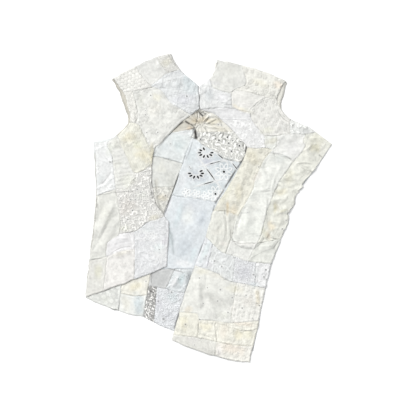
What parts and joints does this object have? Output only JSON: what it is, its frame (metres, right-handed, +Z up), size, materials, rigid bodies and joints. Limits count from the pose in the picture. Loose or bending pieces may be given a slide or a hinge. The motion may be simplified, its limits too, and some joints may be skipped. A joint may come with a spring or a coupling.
{
  "type": "patchwork top",
  "caption": "Sleeveless patchwork top in whites, creams and pale blues, laid flat, the fronts meeting at the neck and parting in an arch over the back.",
  "frame": {"origin": "under the middle of the garment as it lies flat: the middle of the bounding box, on the surface it lies on", "axes": "+Z up from the surface, +Y towards the shoulders, +X to the right as seen from above, which is the wearer's left"},
  "size_m": [0.5155, 0.6476, 0.0089],
  "materials": {
    "cotton_grey_beige": "plain-woven cotton, grey-beige, dry and matt, small puckers along its seams",
    "cotton_olive": "plain-woven cotton, pale olive, soft creases with a slight sheen on their crowns",
    "cotton_cream": "plain-woven cotton, washed cream",
    "cotton_blue": "fine cotton lawn, palest blue, smooth, with soft folds",
    "damask_beige": "woven damask with tone-on-tone flowers, beige, the figure a little glossier than the ground",
    "damask_ochre": "woven damask with tone-on-tone flowers, tea-dyed ochre cream",
    "satin_silver": "jacquard satin, silvery blue-white, soft sheen and radiating creases",
    "satin_pearl": "heavy cotton sateen, pearl white, lengthwise folds and a raised edge",
    "embroidered_white": "white cotton with raised tone-on-tone embroidery",
    "embroidered_lavender": "lavender-grey cotton with dense embroidered flowers",
    "embroidered_grey": "grey-white cotton with embroidered eyelets and swirls",
    "lace_bubble": "raised bobble lace, off-white",
    "lace_olive": "corded lace, olive beige",
    "lace_brown": "crocheted lace, tea-brown, matt and deeply textured",
    "lace_petal": "guipure lace flowers, white over grey",
    "crochet_cream": "open crocheted cotton band in scallops, cream",
    "eyelet_blue": "broderie anglaise, pale blue-white cotton with whipped holes",
    "gathered_cream": "gathered soft cotton, cream, deep uneven gathers",
    "sheer_mesh": "fine grey mesh over a darker ground, even and matt",
    "dark_net": "dark patterned net lace",
    "dotted_cream": "cream cotton with small embroidered eyelet dots and soft folds",
    "closure_metal": "nickel-plated wire, small sewn eye"
  },
  "bodies": {
    "root": {"FrontLeft_BubbleLace": "lace_bubble", "FrontLeft_ShoulderPlain": "cotton_grey_beige", "FrontLeft_NeckLace": "lace_olive", "FrontLeft_NeckBlue": "satin_silver", "FrontLeft_ArmholeStrip": "lace_olive", "FrontLeft_BigFloral": "damask_beige", "FrontLeft_OchreFloral": "damask_ochre", "FrontLeft_RippledStrip": "cotton_olive", "FrontLeft_WhiteEmbroidered": "embroidered_white", "FrontLeft_CrochetLace": "lace_brown", "FrontLeft_OlivePlain": "cotton_olive", "FrontLeft_GreyPlain": "cotton_grey_beige", "FrontLeft_LavenderFloral": "embroidered_lavender", "FrontLeft_RoundTop": "damask_beige", "FrontLeft_HemOlive": "cotton_olive", "FrontRight_ShoulderPlain": "cotton_grey_beige", "FrontRight_ShoulderFloral": "damask_ochre", "FrontRight_NeckSatin": "satin_silver", "FrontRight_Pleated": "damask_beige", "FrontRight_DottedBeige": "damask_beige", "FrontRight_Mist": "cotton_blue", "FrontRight_Lilac": "embroidered_white", "FrontRight_SmallBeige": "cotton_grey_beige", "FrontRight_PetalLace": "lace_petal", "FrontRight_LongOchre": "damask_ochre", "FrontRight_CurveTop": "satin_pearl", "FrontRight_Curve": "satin_pearl", "FrontRight_GatheredStrip": "gathered_cream", "FrontRight_CreamPanel": "cotton_cream", "FrontRight_CreamCrescent": "cotton_cream", "FrontRight_FoldedBeige": "cotton_cream", "FrontRight_DottedBlue": "cotton_blue", "FrontRight_GreyEyelet": "embroidered_grey", "FrontRight_GreySwirl": "embroidered_grey", "FrontRight_BandWhite": "cotton_cream", "FrontRight_DottedCream": "dotted_cream", "FrontRight_PinkBeige": "damask_beige", "FrontRight_OchreCorner": "damask_ochre", "FrontRight_YellowBlock": "damask_ochre", "FrontRight_TrimBand": "damask_ochre", "FrontRight_YellowWide": "damask_ochre", "FrontRight_HemGrey": "cotton_grey_beige", "FrontRight_HemPink": "damask_beige", "BackLeft_Yoke": "gathered_cream", "BackLeft_Pale": "cotton_blue", "BackLeft_Plain": "cotton_grey_beige", "BackLeft_BrownLace": "lace_brown", "BackLeft_TailGrey": "embroidered_white", "BackLeft_TailAmber": "damask_ochre", "BackLeft_TailBlue": "cotton_blue", "BackRight_Gathered": "gathered_cream", "BackRight_Crochet": "crochet_cream", "BackRight_Eyelet": "eyelet_blue", "BackRight_Sky": "cotton_blue", "BackRight_Mesh": "sheer_mesh", "BackRight_Embroidered": "embroidered_white", "BackRight_DarkNet": "dark_net", "BackRight_TailEyelet": "embroidered_grey", "NeckClosure_Eye": "closure_metal"}
  },
  "joints": []
}
